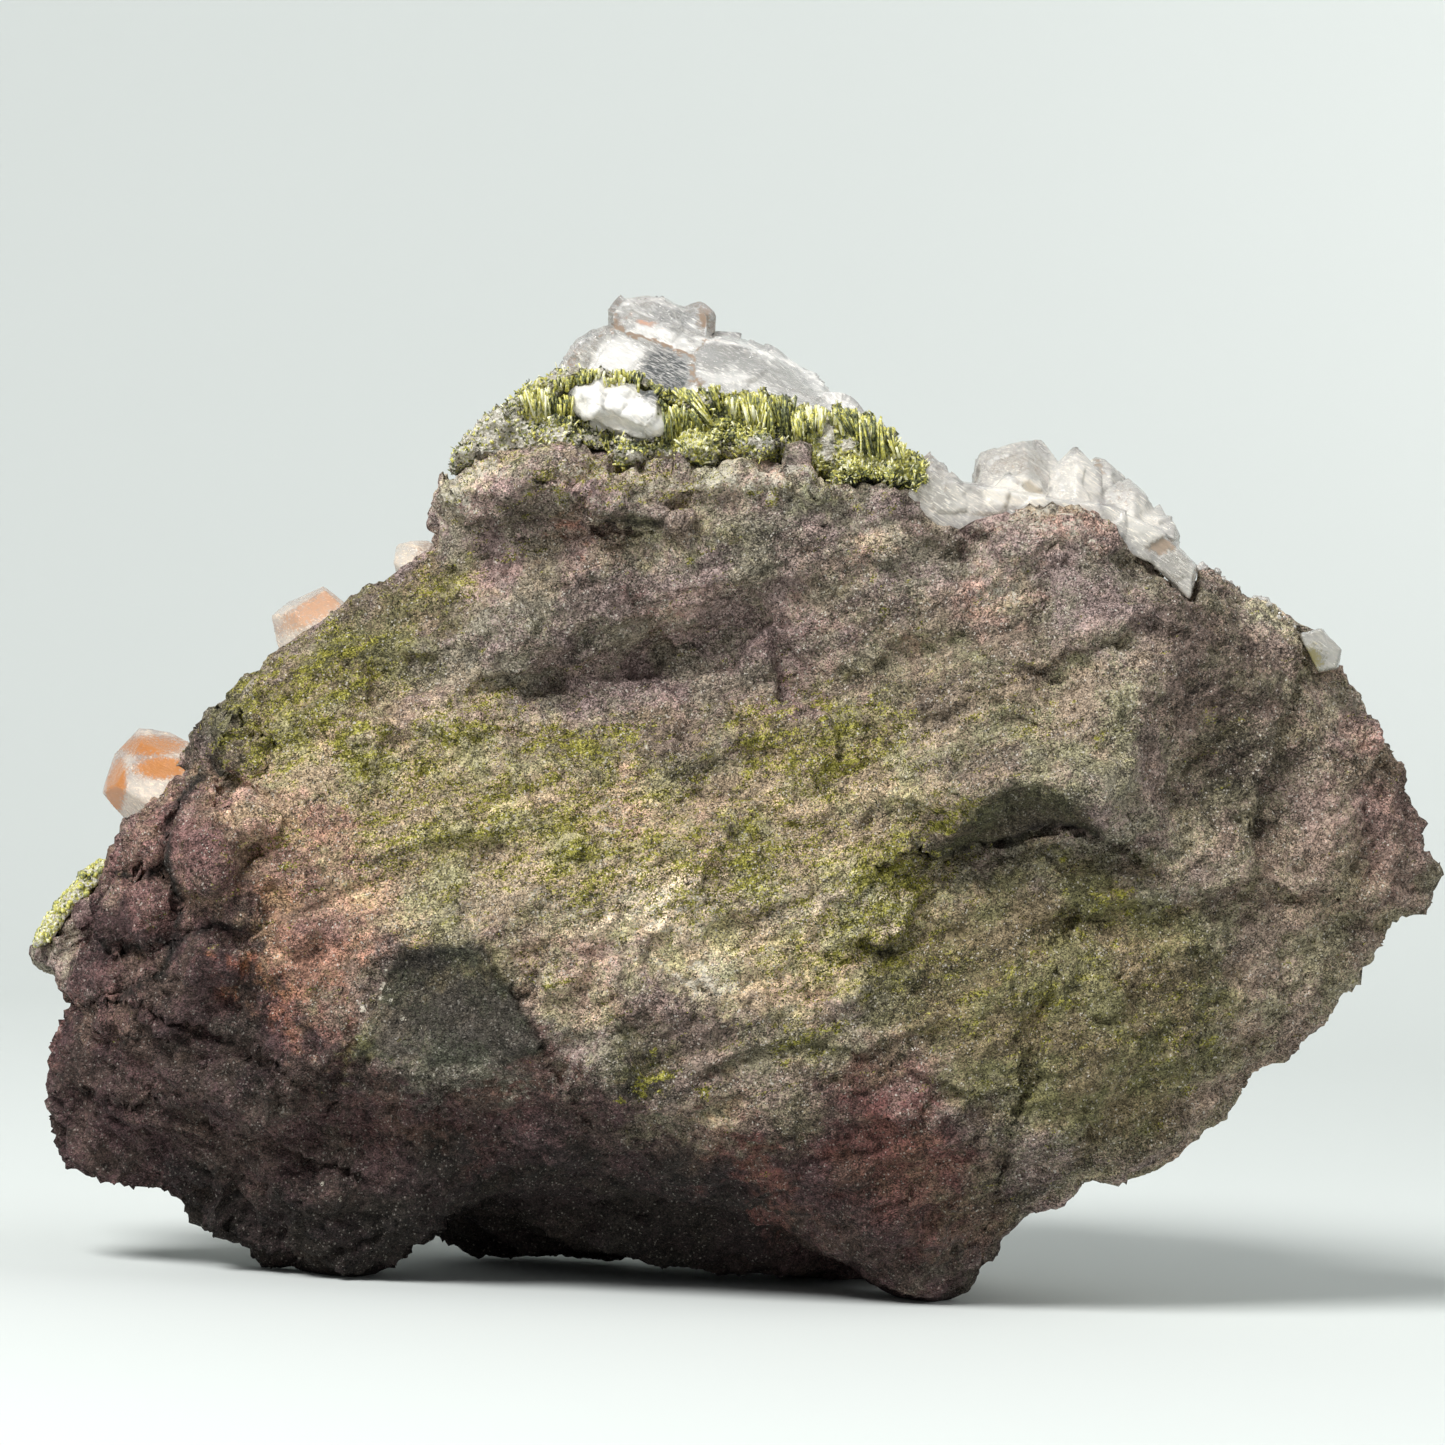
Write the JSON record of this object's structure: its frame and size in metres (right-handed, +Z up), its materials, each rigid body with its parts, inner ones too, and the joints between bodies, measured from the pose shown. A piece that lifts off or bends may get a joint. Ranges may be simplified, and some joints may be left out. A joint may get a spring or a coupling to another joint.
{
  "type": "smoky quartz cluster on epidote-coated volcanic rock",
  "caption": "Broken plate of altered volcanic rock with an epidote layer, clear and stained quartz on its upper edge and smoky quartz points on its far side.",
  "frame": {"origin": "middle of the specimen's own box, on the surface that it stands on", "axes": "+X to the right along the longest extent with the broken rock face towards -Y, +Y to the side with the smoky points, +Z up"},
  "size_m": [0.0728, 0.0396, 0.051],
  "materials": {
    "rock": "rough, fine-grained, purple-brown with olive green zones",
    "epidote": "vitreous needles, yellow-green to dark olive",
    "clear_quartz": "vitreous, clear to milky with striations",
    "milky_quartz": "vitreous, milky and pale smoky",
    "stained_quartz": "vitreous with orange iron-oxide stain",
    "smoky_quartz": "vitreous, transparent smoky brown"
  },
  "bodies": {
    "root": {"matrix_rock": "rock", "epidote_seam": "epidote", "top_quartz": "clear_quartz", "right_quartz": "milky_quartz", "left_stained_crystal": "stained_quartz", "upper_stained_crystal": "stained_quartz", "pale_crystal": "stained_quartz", "edge_wedge": "milky_quartz", "corner_epidote": "epidote", "smoky_cluster": "smoky_quartz", "epidote_spray_left": "epidote", "epidote_spray_low": "epidote"}
  },
  "joints": []
}
